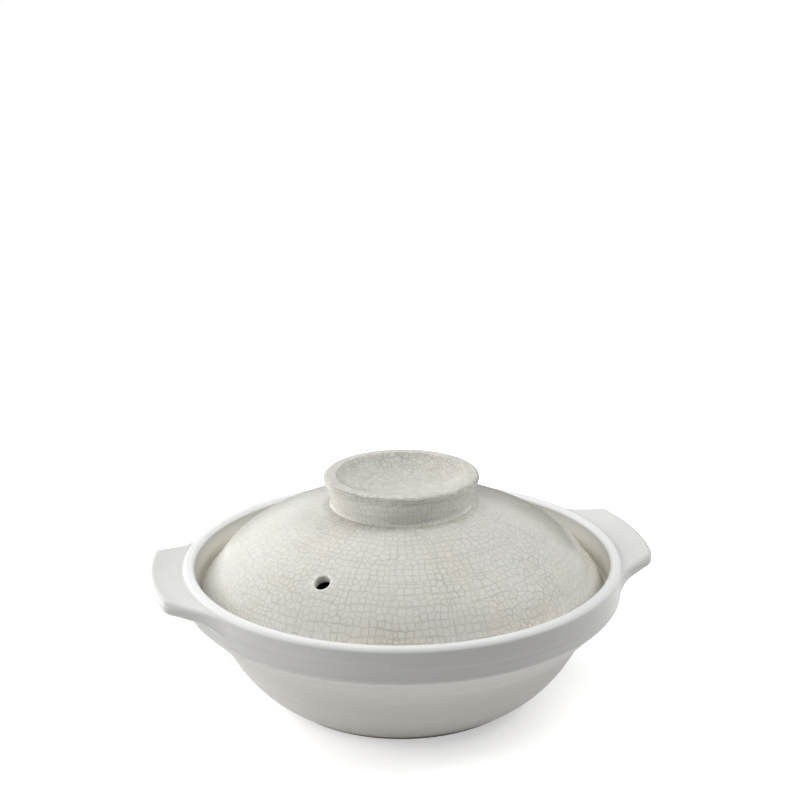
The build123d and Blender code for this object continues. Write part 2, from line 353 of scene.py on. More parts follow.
    # The glaze itself, cell by cell, then the pool colour, which stands for pooled glaze and painted shade.
    # Below 0 the mark takes the colour past the glaze to a paler one, a painted light.
    tint = addNode(tree, "SeparateColor", {}, [cells.outputs["Color"]])
    warm = addNode(tree, "Math", "MULTIPLY_ADD", [tint.outputs[0], c["warmCell"], clouds["warmth"]])
    warmth = addNode(tree, "MapRange", smooth, [warm, c["warmFrom"], c["warmTo"], 0.0, 1.0])
    glaze = addNode(tree, "Mix", mixed, {0: warmth, 6: linear(c["ivory"]), 7: linear(c["cream"])})
    lightness = addNode(tree, "MapRange", {}, [tint.outputs[1], 0.0, 1.0, c["cellDark"], c["cellLight"]])
    shaded = addNode(tree, "VectorMath", "SCALE", {0: glaze.outputs[2], "Scale": lightness})
    # Painted shade and light: the mark takes the glaze towards the darker pool colour, or past the glaze to
    # paler.
    poolAndPaintedLightShare = addNode(tree, "Math", "MULTIPLY", [poolAndPaintedLight, patches["poolAndShade"]])
    body = addNode(tree, "Mix", {**mixed, "clamp_factor": False},
                   {0: poolAndPaintedLightShare, 6: shaded, 7: linear(c["poolAndShade"])})
    colour = addNode(tree, "Mix", mixed, {0: stain, 6: body.outputs[2], 7: linear(c["crackStain"])})

    waves = addNode(tree, "Math", "MULTIPLY", [clouds["relief"], c["wave"]])
    height = addNode(tree, "Math", "MULTIPLY_ADD", [cracks, -1.0, waves])
    bump = addNode(tree, "Bump", {}, {"Height": height, "Strength": c["bump"], "Distance": c["relief"] * mm})
    gloss = addNode(tree, "Math", "MULTIPLY_ADD", [stain, c["stainRoughness"], c["roughness"]])
    shader = addNode(tree, "BsdfPrincipled", {},
                     {"Base Color": colour.outputs[2], "Roughness": gloss, "IOR": 1.5, "Normal": bump})
    addNode(tree, "OutputMaterial", {}, {"Surface": shader})
    return material


whiteGlaze = dict(
    grey="#c4c3c0", white="#e8e8e7",  # grey of the glaze, and a white painted on the lip and lug tops as painted light; random clouds mix the two too
    matt="#dbd7d3", bare="#c2b49d",   # thin dry coat of the lower bowl, bare clay of the foot
    cream="#fcf9ef",                  # painted bounce light inside the rim, lighter and warmer than the glaze
    cloudSize=71.428571, uneven=0.08,  # mm across a thicker or thinner patch, and by how much
    lineLength=111.111111, lineHeight=3.84615385,  # mm, the wheel's lines
    lineDark=0.95, lineLight=1.03,    # and their tones
    grainSize=1.11111111,             # mm, coarser than the real grit, which would not show
    levels=(0.3, 0.7),                # of a cloud, that are its least and its most
    roughness=0.25, mattRoughness=0.62,
    relief=0.14, lineRelief=2.0, bump=0.4,  # relief in mm, lines in grains' heights, strength
)


def whiteGlazedStoneware():
    # Stoneware poured with an opaque white glaze. It is satin smooth over the rim and lugs, with faint
    # lines from the wheel, thin and dry on the lower bowl, and wiped off the foot. Its lip and lug tops are
    # painted whiter as painted light, and the inside of the rim is painted cream as painted bounce light.
    material, tree = newMaterial("whiteGlazedStoneware")
    c = whiteGlaze
    inClay = addNode(tree, "TexCoord").outputs["Object"]
    sizes = ("cloudSize", "lineLength", "lineHeight", "grainSize")
    clouds, along, up, grains = (1 / (c[size] * mm) for size in sizes)  # scales, in repeats for each metre
    cloud = addNode(tree, "TexNoise", {}, {"Vector": inClay, "Scale": clouds, "Detail": 3.0})
    drawn = addNode(tree, "Mapping", {}, {"Vector": inClay, "Scale": (along, along, up)})
    wheel = addNode(tree, "TexNoise", {}, {"Vector": drawn, "Scale": 1.0, "Detail": 3.0})
    grain = addNode(tree, "TexNoise", {}, {"Vector": inClay, "Scale": grains, "Detail": 2.0})
    marks = {name: addNode(tree, "Attribute", {"attribute_name": name}).outputs["Fac"]
             for name in ("paintedTopLight", "thinCoat", "paintedRimLight", "bareClay")}

    uneven = addNode(tree, "MapRange", {}, [cloud, *c["levels"], -c["uneven"], c["uneven"]])
    # Painted light: the mark paints the lip and lug tops white, on top of the random grey and white patches.
    depth = addNode(tree, "Math", {"operation": "ADD", "use_clamp": True}, [marks["paintedTopLight"], uneven])
    mixed = {"data_type": "RGBA"}
    layers = addNode(tree, "Mix", mixed, {0: depth, 6: linear(c["grey"]), 7: linear(c["white"])})
    # The inside of the rim is painted cream as painted bounce light; the thin coat and the bare clay are the
    # glaze's own.
    for mark, colour in (("thinCoat", "matt"), ("paintedRimLight", "cream"), ("bareClay", "bare")):
        layers = addNode(tree, "Mix", mixed, {0: marks[mark], 6: layers.outputs[2], 7: linear(c[colour])})
    streak = addNode(tree, "MapRange", {}, [wheel, *c["levels"], c["lineDark"], c["lineLight"]])
    body = addNode(tree, "VectorMath", "SCALE", {0: layers.outputs[2], "Scale": streak})

    dry = addNode(tree, "Math", "MAXIMUM", [marks["thinCoat"], marks["bareClay"]])
    gritty = addNode(tree, "Math", "MULTIPLY", [dry, grain])
    raised = addNode(tree, "Math", "MULTIPLY_ADD", [wheel, c["lineRelief"], gritty])
    bump = addNode(tree, "Bump", {}, {"Height": raised, "Strength": c["bump"], "Distance": c["relief"] * mm})
    rough = addNode(tree, "MapRange", {}, [dry, 0.0, 1.0, c["roughness"], c["mattRoughness"]])
    shader = addNode(tree, "BsdfPrincipled", {},
                     {"Base Color": body, "Roughness": rough, "IOR": 1.5, "Normal": bump})
    addNode(tree, "OutputMaterial", {}, {"Surface": shader})
    return material


lidGlaze = crackleGlazedStoneware()
potGlaze = whiteGlazedStoneware()
print("materials ready")


# Bowl

bowlHigh, lugHigh = nodeBox("pot_bowl")[1], nodeBox("handle_right")[1]
lidLow, lidHigh = nodeBox("lid_dome")
knobLow, knobHigh = nodeBox("lid_knob")

bowl = dict(
    rimRadius=bowlHigh[1], rimHeight=bowlHigh[2], rimWall=6.8, bandHeight=19.4, lipRound=2.4,
    seatHeight=lidLow[2], seatWidth=7.8, seatDraft=0.7, seatRound=1.2, throatRound=4.0,
    shoulderRound=4.5, bellyWall=6.5, floorHeight=8.8, floorRadius=64.0,
    footRadius=77.0, footWidth=9.0, footHeight=3.0, footShelf=3.2, footRecess=2.4, footRound=0.8,
    sway=0.1,                         # how far the larger of two waves takes the rim from a true circle
    ringDepth=0.035, ringGap=4.3, fineRingGap=2.9, ringStop=3.0, ringFade=2.0, ringRise=10.0,  # wheel rings
    coatDrop=1.0, coatWave=0.3, coatFade=1.2,  # below the shoulder, where the thin coat begins
    bareDrop=0.4, bareFade=0.5,       # below the shelf of the foot, where the clay is bare
    lipLightDepth=2.6, lipLightFade=1.4,        # from the lip down, where the top is painted white as painted light
    rimLightDrop=3.0, rimLightFade=9.0,     # from the lip down inside, where cream is painted on as painted bounce light
    columns=350,
)
# The belly's points between the shelf and the shoulder, as shares of the way out and of the way up.
bellyShares = ((0.153, 0.10), (0.308, 0.233), (0.476, 0.433), (0.612, 0.633), (0.81, 0.833))


def sway(angle, height):  # two slow waves round the rim that die away towards the foot
    waves = np.sin(2 * angle + 0.7) + 0.6 * np.sin(3 * angle + 2.1)
    return bowl["sway"] * waves * ramp(height / bowl["rimHeight"])


def wheelRings(height):
    # Shallow rings left on the outer wall by the potter's fingers, fading out at the lip. The waves reach 1.7
    # at most, so the rings only cut into the wall.
    b = bowl
    turns = 2 * np.pi * height
    waves = np.sin(turns / b["ringGap"]) + 0.7 * np.sin(turns / b["fineRingGap"] + 1.0)
    return b["ringDepth"] * (waves - 1.7) * ramp((b["rimHeight"] - b["ringStop"] - height) / b["ringFade"])


def bowlLine():
    # Outline from the middle of the floor, up inside, over the lip, down outside and back under the foot.
    b = bowl
    rimInner = b["rimRadius"] - b["rimWall"]
    seatOuter = rimInner - b["seatDraft"]
    seatInner = seatOuter - b["seatWidth"]
    shoulder = (b["rimRadius"], b["rimHeight"] - b["bandHeight"])
    shelf = (b["footRadius"] + b["footShelf"], b["footHeight"])
    span = np.subtract(shoulder, shelf)
    belly = np.vstack([shelf, shelf + span * bellyShares, shoulder])
    inner = offsetPoints(belly, b["bellyWall"])
    floorEdge = (b["floorRadius"], b["floorHeight"])
    throat = (seatInner, inner[-1, 1])
    footInner = b["footRadius"] - b["footWidth"]
    strokes = [
        straight((0, b["floorHeight"]), floorEdge, 5),
        splineThrough([floorEdge, *inner[:-1], throat], 2.2, (1, 0), belly[-1] - belly[-2]),
        straight(throat, (seatInner, b["seatHeight"]), 1.5),
        straight((seatInner, b["seatHeight"]), (seatOuter, b["seatHeight"]), 1.5),
        straight((seatOuter, b["seatHeight"]), (rimInner, b["rimHeight"]), 1.5),
        straight((rimInner, b["rimHeight"]), (b["rimRadius"], b["rimHeight"]), 0.6),
        straight((b["rimRadius"], b["rimHeight"]), shoulder, 0.5),
        splineThrough(belly[::-1], 1.2),
        straight(shelf, (b["footRadius"], b["footHeight"]), 1),
        straight((b["footRadius"], b["footHeight"]), (b["footRadius"], 0), 1),
        straight((b["footRadius"], 0), (footInner, 0), 3),
        straight((footInner, 0), (footInner, b["footRecess"]), 1),
        straight((footInner, b["footRecess"]), (0, b["footRecess"]), 6),
    ]
    corners = ["throatRound", "seatRound", "seatRound", "lipRound", "lipRound", "shoulderRound"]
    corners += 5 * ["footRound"]
    return joinStrokes(strokes, [0, *(b[corner] for corner in corners)])


def makeBowl():
    b = bowl
    line = bowlLine()
    angles = np.arange(b["columns"]) * 2 * np.pi / b["columns"]
    outside = np.arange(len(line)) > np.argmax(line[:, 1])
    onWall = outside & (line[:, 0] >= b["footRadius"] + b["footShelf"] - 1e-6)
    marked = line.copy()
    marked[:, 0] += onWall * ramp((line[:, 1] - b["footHeight"]) / b["ringRise"]) * wheelRings(line[:, 1])
    rings = marked[1:-1]
    grid = turned(rings, angles, ramp(rings[:, :1] / b["rimRadius"]) * sway(angles[None], rings[:, 1:]))

    height, outside, allRound = line[:, 1:], outside[:, None], np.ones(len(angles))
    coatEdge = b["rimHeight"] - b["bandHeight"] - b["coatDrop"] + b["coatWave"] * np.sin(5 * angles)
    lipDepth = b["rimHeight"] - height
    layers = dict(
        # painted light: the top of the lip is painted white
        paintedTopLight=ramp((b["lipLightDepth"] - lipDepth) / b["lipLightFade"]) * allRound,
        thinCoat=outside * ramp((coatEdge - height) / b["coatFade"]),
        bareClay=outside * ramp((b["footHeight"] - b["bareDrop"] - height) / b["bareFade"]) * allRound,
        # painted bounce light: deeper inside the rim the wall is painted cream
        paintedRimLight=~outside * ramp((lipDepth - b["rimLightDrop"]) / b["rimLightFade"]) * allRound,
    )
    marks = {name: np.r_[layer[0, 0], layer[1:-1].ravel(), layer[-1, 0]] for name, layer in layers.items()}
    index = numbered(grid, 1)
    points, faces = cappedPoints(line, grid), cappedFaces(index, gridFaces(index))
    addPiece("potBowl", points, faces, potGlaze, "pot", "pot_bowl", marks=marks)


makeBowl()


# Lugs

lug = dict(
    tipRadius=lugHigh[0] - 0.12, tipHalfWidth=39.7,  # the tip leaves room for the sway
    sideAngle=31.8, cornerRound=8.1, flareRound=55.0,
    rootRadius=bowl["rimRadius"] - 6.7, rootTop=bowl["rimHeight"] - 2.9, rootUnder=bowl["rimHeight"] - 14.1,
    tipTop=bowl["rimHeight"] + 1.6, tipThickness=8.8, hollowShare=0.55, hollowDepth=0.95,
    grooveRound=1.1, underRound=2.4, edgeRound=2.6,
    sink=0.02, tuck=2.0,              # how far the joint lies under the rim's face, and the hidden root
    topLightShare=0.46, topLightDrop=1.2, topLightFade=2.0,  # painted light: the lug's top painted white, from below the middle of the tip
    columnGap=0.8, arcPoints=60,      # mm between columns, and points in each arc of the plan
    bendPoints=9, flatPoints=14, edgePoints=6,  # in each bend, on the top and on the edge of a section
)


def lugPlan():
    # Half of the lug seen from above, as bearings and as reach beyond the rim's face. The straight side
    # passes K, the corner of the tip; n is square to it, o runs along it to the tip and d = K . n. A corner
    # of radius r inside the tip's circle R is centred on (d - r) n + sqrt((R - r)^2 - (d - r)^2) o, and a
    # flare of radius f outside the rim's circle B on (d + f) n + sqrt((B + f)^2 - (d + f)^2) o.
    s = lug
    slant = np.radians(s["sideAngle"])
    square, along = np.array([np.sin(slant), np.cos(slant)]), np.array([np.cos(slant), -np.sin(slant)])
    tip, r, f = s["tipRadius"], s["cornerRound"], s["flareRound"]
    base = bowl["rimRadius"]
    d = np.array([np.sqrt(tip**2 - s["tipHalfWidth"]**2), s["tipHalfWidth"]]) @ square
    corner = (d - r) * square + np.sqrt((tip - r)**2 - (d - r)**2) * along
    flare = (d + f) * square + np.sqrt((base + f)**2 - (d + f)**2) * along

    def arc(centre, radius, start, end):
        bearings = np.linspace(start, end, s["arcPoints"])[:, None]
        return centre + radius * np.hstack([np.cos(bearings), np.sin(bearings)])

    cornerBearing, flareBearing = np.arctan2(*corner[::-1]), np.arctan2(*flare[::-1])
    squareBearing = np.arctan2(*square[::-1])
    line = np.vstack([
        arc(np.zeros(2), tip, 0, cornerBearing)[:-1],
        arc(corner, r, cornerBearing, squareBearing),
        arc(flare, f, squareBearing - np.pi, flareBearing - np.pi),
    ])
    line = pointAt(line, np.arange(0, lengthsAlong(line)[-1], s["columnGap"]))
    return np.arctan2(line[:, 1], line[:, 0]), np.hypot(*line.T) - base


def curveThrough(share, middle, end):  # a and b of a x + b x^2 that passes both, for x from 0 to 1
    b = (middle / share - end) / (share - 1)
    return end - b, b


def makeLug(name, node, turn):
    # Each column is a section of the lug, in a plane through the pot's axis: from the rim's face it turns
    # out through a small hollow, crosses the top, rounds the edge and comes back underneath to the rim.
    # Where the lug reaches out less than both its roundings, they stop at the angle at which they meet.
    s = lug
    halfAngles, halfReach = lugPlan()
    angles = np.r_[-halfAngles[:0:-1], halfAngles][:, None]
    reach = np.r_[halfReach[:0:-1], halfReach][:, None]
    climb = np.abs(np.gradient(reach[:, 0]) / np.gradient(angles[:, 0]))[:, None]
    stretch = np.sqrt(1 + (climb / (bowl["rimRadius"] + reach))**2)
    inset = bowl["rimRadius"] - s["rootRadius"]
    full = s["tipRadius"] - s["rootRadius"]
    topRise, underRise = s["tipTop"] - s["rootTop"], s["tipTop"] - s["tipThickness"] - s["rootUnder"]
    topCurve = curveThrough(s["hollowShare"], topRise * s["hollowShare"] - s["hollowDepth"], topRise)
    underCurve = curveThrough(s["hollowShare"], underRise * s["hollowShare"] + s["hollowDepth"], underRise)
    t = np.linspace(0, 1, s["bendPoints"])[None]

    def half(height, hollow, curve, side):  # from the rim to the middle of the edge, above (1) or below (-1)
        both = stretch * (hollow + s["edgeRound"])
        bend = np.arccos(np.clip(1 - np.maximum(reach, 0) / both, 0, 1))
        flatPart = np.maximum(reach - both, 0)
        out = stretch * hollow * (1 - np.cos(bend * t))
        drop = hollow * (1 - np.sin(bend * t))
        edgeBend = bend * (1 - t)
        edgeOut = np.maximum(reach, 0) - stretch * s["edgeRound"] * (1 - np.cos(edgeBend))
        edgeDrop = hollow * (1 - np.sin(bend)) - s["edgeRound"] * (np.sin(bend) - np.sin(edgeBend))
        middle = out[:, -1:] + flatPart * np.linspace(0, 1, s["flatPoints"])[None, 1:-1]
        x = np.hstack([out, middle, edgeOut])
        z = np.hstack([drop, np.broadcast_to(drop[:, -1:], middle.shape), edgeDrop])
        far = (x + inset) / full
        sunk = x - s["sink"] - np.maximum(-reach - s["sink"], 0)
        return sunk, height + side * z + curve[0] * far + curve[1] * far**2

    topX, topZ = half(s["rootTop"], s["grooveRound"], topCurve, 1)
    underX, underZ = half(s["rootUnder"], s["underRound"], underCurve, -1)
    faceT = np.linspace(0, 1, s["edgePoints"])[None, 1:-1]
    faceX = topX[:, -1:] + (underX[:, -1:] - topX[:, -1:]) * faceT
    faceZ = topZ[:, -1:] + (underZ[:, -1:] - topZ[:, -1:]) * faceT
    tuckX = np.full_like(reach, -s["tuck"])
    x = np.hstack([topX, faceX, underX[:, ::-1], tuckX, tuckX])
    z = np.hstack([topZ, faceZ, underZ[:, ::-1], underZ[:, :1], topZ[:, :1]])
    around = angles + turn
    radii = bowl["rimRadius"] + x + sway(around, z) + wheelRings(z) * (x < 1)
    grid = np.stack([radii * np.cos(around), radii * np.sin(around), z], axis=-1)
    index = numbered(grid)
    ends = grid[[0, -1]].mean(axis=1)
    count = index.size
    faces = (gridFaces(index[::-1]).tolist() + fanFaces(count, index[0], True).tolist()
             + fanFaces(count + 1, index[-1], False).tolist())
    points = np.vstack([grid.reshape(-1, 3), ends])
    # Painted light: the top of the lug is painted whiter.
    start = s["tipTop"] - s["tipThickness"] / 2 - s["topLightDrop"]
    topLight = s["topLightShare"] * ramp((points[:, 2] - start) / s["topLightFade"])
    addPiece(name, points, faces, potGlaze, "pot", node, marks={"paintedTopLight": topLight})


makeLug("lugRight", "handle_right", 0.0)
makeLug("lugLeft", "handle_left", np.pi)


# Lid

dome = dict(
    radius=lidHigh[1], seatHeight=lidLow[2], topHeight=lidHigh[2], wall=6.0, edgeHeight=1.6, edgeRound=1.2,
    knobSeatRadius=43.5, columns=432,
    holeRadius=4.55, holeDistance=90.7, holeBearing=-131.9, holeRound=0.8, mouthRound=1.8,
    holeSearch=15.0,                  # how near the hole's inner end lies to its outer one
    windowColumns=6, windowRows=5,    # that make room for the hole on each side of it
    closingRings=7, roundRings=6, boreRings=5,  # from the window to the circle, in its rounding, in the bore
    poolShadeReach=5.0, poolShadeFade=4.0,      # glaze pooled at the edge and round the knob, darkened there as painted shade too
    holeHighlight=0.7, holeHighlightReach=1.8,      # and a painted highlight, paler, round the hole
    mapGap=6.0, boreShare=0.8,        # where the glaze map of the inside and of the bore lies
)
# The outer wall's points between edge and knob seat, as shares of the radius and of the rise.
domeShares = ((0.9645, 0.16), (0.899, 0.357), (0.79, 0.60), (0.669, 0.757), (0.53, 0.884))


def domeLine():
    # Outline from the middle of the crown, down outside, round the edge and up inside to the crown.
    d = dome
    rise = d["topHeight"] - d["seatHeight"]
    edgeTop = (d["radius"], d["seatHeight"] + d["edgeHeight"])
    middle = [(d["radius"] * r, d["seatHeight"] + rise * h) for r, h in domeShares]
    outer = np.array([edgeTop, *middle, (d["knobSeatRadius"], d["topHeight"])])
    inner = offsetPoints(outer, d["wall"])
    skirt = d["radius"] - d["wall"]
    skirtTop = (skirt, edgeTop[1])
    crown = (0, d["topHeight"] - d["wall"])
    strokes = [
        straight((0, d["topHeight"]), outer[-1], 6),
        splineThrough(outer[::-1], 1.5, outer[-2] - outer[-1], (0, -1)),
        straight(edgeTop, (d["radius"], d["seatHeight"]), 0.8),
        straight((d["radius"], d["seatHeight"]), (skirt, d["seatHeight"]), 1.2),
        straight((skirt, d["seatHeight"]), skirtTop, 0.8),
        splineThrough([skirtTop, *inner, crown], 1.5, outer[1] - outer[0], (-1, 0)),
    ]
    return joinStrokes(strokes, [0, 0, d["edgeRound"], d["edgeRound"], 0])


def holeSleeve(line, rowLengths, angles, index):
    # The steam hole: a sleeve of rings that starts on the edge of a window in the outer wall, closes to a
    # circle, rounds into the bore, passes the wall and opens again to a window in the inner wall.
    # Places near the hole are c, along the ring, and m, down the dome, in millimetres from its middle.
    d = dome
    along = lengthsAlong(line)
    lowest = np.argmin(line[:, 1])
    middleColumn = len(angles) // 2
    columns = middleColumn + np.arange(-d["windowColumns"], d["windowColumns"] + 1)
    bearing = angles[middleColumn]
    outerPlace = np.interp(d["holeDistance"], line[:lowest, 0], along[:lowest])
    centre = pointAt(line, outerPlace)
    way = unit(pointAt(line, outerPlace + 0.5) - pointAt(line, outerPlace - 0.5))
    inward = np.array([way[1], -way[0]])
    away = line[lowest:] - centre
    near = np.linalg.norm(away, axis=1) < d["holeSearch"]
    innerPlace = along[lowest + np.argmin(np.where(near, np.abs(away @ way), np.inf))]
    aside = np.arange(-d["windowRows"], d["windowRows"] + 1)
    rows = np.abs(rowLengths - outerPlace).argmin() + aside
    innerRows = np.abs(rowLengths - innerPlace).argmin() - aside

    def windowLoop(picked):  # grid places round a window
        top = [(picked[0], k) for k in columns[:-1]]
        right = [(r, columns[-1]) for r in picked[:-1]]
        bottom = [(picked[-1], k) for k in columns[:0:-1]]
        left = [(r, columns[0]) for r in picked[:0:-1]]
        return np.array(top + right + bottom + left)

    def surface(c, m, place, sign):  # the turned wall at a place near the hole
        angle, length = bearing + c / d["holeDistance"], place + sign * m
        flat = pointAt(line, length)
        return np.stack([flat[..., 0] * np.cos(angle), flat[..., 0] * np.sin(angle), flat[..., 1]], axis=-1)

    axis = np.array([inward[0] * np.cos(bearing), inward[0] * np.sin(bearing), inward[1]])
    bend = np.radians(np.linspace(0, 90, d["roundRings"]))
    halves = []
    walls = ((rows, outerPlace, 1, d["holeRound"]), (innerRows, innerPlace, -1, d["mouthRound"]))
    for picked, place, sign, rim in walls:
        loop = windowLoop(picked)
        c = (angles[loop[:, 1]] - bearing) * d["holeDistance"]
        m = (rowLengths[loop[:, 0]] - place) * sign
        around = np.arctan2(m, c)
        far = np.hypot(c, m)
        t = np.linspace(0, 1, d["closingRings"])[1:-1, None]
        closing = far + t * (d["holeRadius"] + rim - far)
        lip = (d["holeRadius"] + rim * (1 - np.sin(bend)))[:, None] + 0 * far
        radius = np.vstack([closing, lip])
        depth = np.r_[np.zeros(len(closing)), rim * (1 - np.cos(bend))][:, None, None]
        rings = surface(radius * np.cos(around), radius * np.sin(around), place, sign) + sign * axis * depth
        places = bearing + radius * np.cos(around) / d["holeDistance"], place + sign * radius * np.sin(around)
        halves.append((index[loop[:, 0], loop[:, 1]], rings, places))
    (outerIndex, outerRings, outerPlaces), (innerIndex, innerRings, innerPlaces) = halves
    t = np.linspace(0, 1, d["boreRings"])[1:-1, None, None]
    bore = outerRings[-1] + t * (innerRings[-1] - outerRings[-1])
    fresh = np.concatenate([outerRings, bore, innerRings[::-1]])
    loops = np.vstack([outerIndex, numbered(fresh, index[-1, -1] + 2), innerIndex])
    hidden = np.zeros(index.shape, bool)  # faces of the grid that the windows take away
    for picked in (np.sort(rows), np.sort(innerRows)):
        hidden[picked[0]:picked[-1], columns[0]:columns[-1]] = True
    return fresh, loops, hidden, outerPlaces, innerPlaces


def makeDome():
    d = dome
    line = domeLine()
    along = lengthsAlong(line)
    angles = np.radians(d["holeBearing"]) + (np.arange(d["columns"]) / d["columns"] - 0.5) * 2 * np.pi
    grid = turned(line[1:-1], angles)
    index = numbered(grid, 1)
    fresh, loops, hidden, outerPlaces, innerPlaces = holeSleeve(line, along[1:-1], angles, index)
    points = np.vstack([cappedPoints(line, grid), fresh.reshape(-1, 3)])
    faces = cappedFaces(index, gridFaces(index)[~hidden[:-1].ravel()]) + gridFaces(loops).tolist()

    # The glaze map spreads the dome flat: the way out from the crown, measured along the wall, is kept.
    lowest = along[np.argmin(line[:, 1])]
    spread = np.minimum(along, 2 * lowest - along + d["mapGap"])

    def mapped(angle, length):
        flat = np.interp(length, along, spread)
        return np.stack([flat * np.cos(angle), flat * np.sin(angle)], axis=-1)

    gridMap = mapped(angles[None], along[1:-1, None]).reshape(-1, 2)
    outerMap, innerMap = mapped(*outerPlaces), mapped(*innerPlaces)
    t = np.linspace(0, 1, d["boreRings"])[1:-1, None, None]
    boreMap = outerMap[-1] + t * (outerMap[-1].mean(axis=0) - outerMap[-1]) * d["boreShare"]
    freshMap = np.concatenate([outerMap, boreMap, innerMap[::-1]]).reshape(-1, 2)
    glazeMap = np.vstack([[0, 0], gridMap, [0, 0], freshMap])
    out = np.hypot(points[:, 0], points[:, 1])
    atHole = np.linalg.norm(points - fresh[len(outerMap) - 1].mean(axis=0), axis=1)
    # Pooled glaze with painted shade at the lid's edge and round the knob's seat.
    poolAndPaintedLight = (ramp((out - d["radius"] + d["poolShadeReach"]) / d["poolShadeFade"])
              + ramp((d["knobSeatRadius"] + d["poolShadeReach"] - out) / d["poolShadeFade"])
              # painted highlight: paler round the steam hole
              - d["holeHighlight"] * ramp(d["holeRadius"] + d["holeHighlightReach"] - atHole))
    addPiece("lidDome", points, faces, lidGlaze, "lid", "lid_dome", glazeMap,
             {"poolAndPaintedLight": poolAndPaintedLight})


makeDome()


# Knob

knob = dict(
    topHeight=knobHigh[2], lipRadius=knobHigh[0], baseRadius=41.8, seatHeight=knobLow[2], footRound=3.4,
    lipWidth=6.9, lipRound=1.9, lipDepth=3.4, waistShare=0.45, waistDepth=0.7,
    underRound=4.0, dishDepth=9.2, dishShare=0.55, dishDepthShare=0.80,
    footSink=0.3, footReach=4.1,      # how deep the wall meets the dome, and how far the foot runs along it
    hiddenStep=1.0, hiddenDepth=2.0,  # the closing surface inside the dome's wall
    poolAndPaintedLightShare=0.6, wallLight=1.1, footPoolShade=0.5,  # pooled glaze with painted shade in the dish, painted light down the wall, more pooled glaze and painted shade at the foot
    wallStart=2.0, wallFade=4.0, footRise=6.0, footFade=5.0,  # where those begin, and how fast they fade
    wallInset=3.0,                    # inside the base's radius, where the dish ends and the wall begins
    columns=288,
)


def knobLine():
    # Outline from the middle of the dish, over the lip, down the wall and along the dome, then hidden in it.
    k = knob
    base = np.array([k["baseRadius"], k["seatHeight"]])
    lipUnder = np.array([k["lipRadius"], k["topHeight"] - k["lipDepth"]])
    waist = base + (lipUnder - base) * k["waistShare"] - (k["waistDepth"], 0)
    lipOuter, lipInner = (k["lipRadius"], k["topHeight"]), (k["lipRadius"] - k["lipWidth"], k["topHeight"])
    dishSide = (lipInner[0] * k["dishShare"], k["topHeight"] - k["dishDepth"] * k["dishDepthShare"])
    dishMiddle = (0, k["topHeight"] - k["dishDepth"])
    onDome = base - (0, k["footSink"])
    alongDome = unit(domeLine()[12] - domeLine()[9])  # just outside the knob's seat
    flareEnd = onDome + alongDome * k["footReach"]
    hidden = flareEnd - (k["hiddenStep"], k["hiddenDepth"])
    strokes = [
        splineThrough([dishMiddle, dishSide, lipInner], 1.3, (1, 0), (1, 1)),
        straight(lipInner, lipOuter, 0.8),
        straight(lipOuter, lipUnder, 0.8),
        splineThrough([lipUnder, waist, onDome], 0.8),
        straight(onDome, flareEnd, 0.8),
        straight(flareEnd, hidden, 1),
        straight(hidden, (0, hidden[1]), 6),
    ]
    return joinStrokes(strokes, [k["lipRound"], k["lipRound"], k["underRound"], k["footRound"], 0, 0])


def makeKnob():
    k = knob
    line = knobLine()
    along = lengthsAlong(line)
    angles = np.arange(k["columns"]) * 2 * np.pi / k["columns"]
    grid = turned(line[1:-1], angles)
    index = numbered(grid, 1)
    points, faces = cappedPoints(line, grid), cappedFaces(index, gridFaces(index))
    gridMap = along[1:-1, None, None] * np.stack([np.cos(angles), np.sin(angles)], axis=-1)
    glazeMap = np.vstack([[0, 0], gridMap.reshape(-1, 2), [0, 0]])
    outer = np.hypot(points[:, 0], points[:, 1]) > k["baseRadius"] - k["wallInset"]
    wall = ramp((k["topHeight"] - k["lipDepth"] + k["wallStart"] - points[:, 2]) / k["wallFade"]) * outer
    foot = ramp((k["seatHeight"] + k["footRise"] - points[:, 2]) / k["footFade"]) * outer
    # Painted shade in the dish and at the foot, painted light on the outer wall.
    poolAndPaintedLight = k["poolAndPaintedLightShare"] - k["wallLight"] * wall + k["footPoolShade"] * foot
    addPiece("lidKnob", points, faces, lidGlaze, "lid", "lid_knob", glazeMap,
             {"poolAndPaintedLight": poolAndPaintedLight})


makeKnob()


# Stage, lamps and camera

view = dict(
    side=-0.85, distance=775.8, height=400.0, azimuth=-13.0, pitch=15.97, yaw=-0.037, roll=-0.53,
    lens=62.15, sensor=36.0,          # 1381 pixels of focal length on an 800 pixel frame
    clips=(0.01, 20.0),               # metres
)


def lookFrom(azimuth):  # turns things laid out for a camera at -Y to the photograph's side of the pot
    return Matrix.Rotation(np.radians(azimuth), 4, "Z")


def makeCamera():
    v = view
    camera = bpy.data.objects.new("camera", bpy.data.cameras.new("camera"))
    bpy.context.scene.collection.objects.link(camera)
    camera.data.sensor_width, camera.data.lens = v["sensor"], v["lens"]
    camera.data.clip_start, camera.data.clip_end = v["clips"]
    aim = (Matrix.Rotation(np.radians(v["yaw"]), 4, "Z")
           @ Matrix.Rotation(np.radians(90 - v["pitch"]), 4, "X")
           @ Matrix.Rotation(np.radians(v["roll"]), 4, "Z"))
    place = Matrix.Translation(Vector((v["side"], -v["distance"], v["height"])) * mm)
    camera.matrix_world = lookFrom(v["azimuth"]) @ place @ aim
    bpy.context.scene.camera = camera


lamps = dict(                         # bearing for a camera at -Y, elevation, size in metres, watts
    left=(180, 20, 0.9, 10.6),
    leftFront=(225, 50, 0.9, 7.3),
    leftBack=(135, 20, 0.9, 14.5),
    right=(0, 50, 0.9, 15.0),
    top=(0, 90, 1.0, 1.3),
)
lampDistance, lampAim = 1.5, 0.06     # metres from the middle of the pot, and its height over the floor


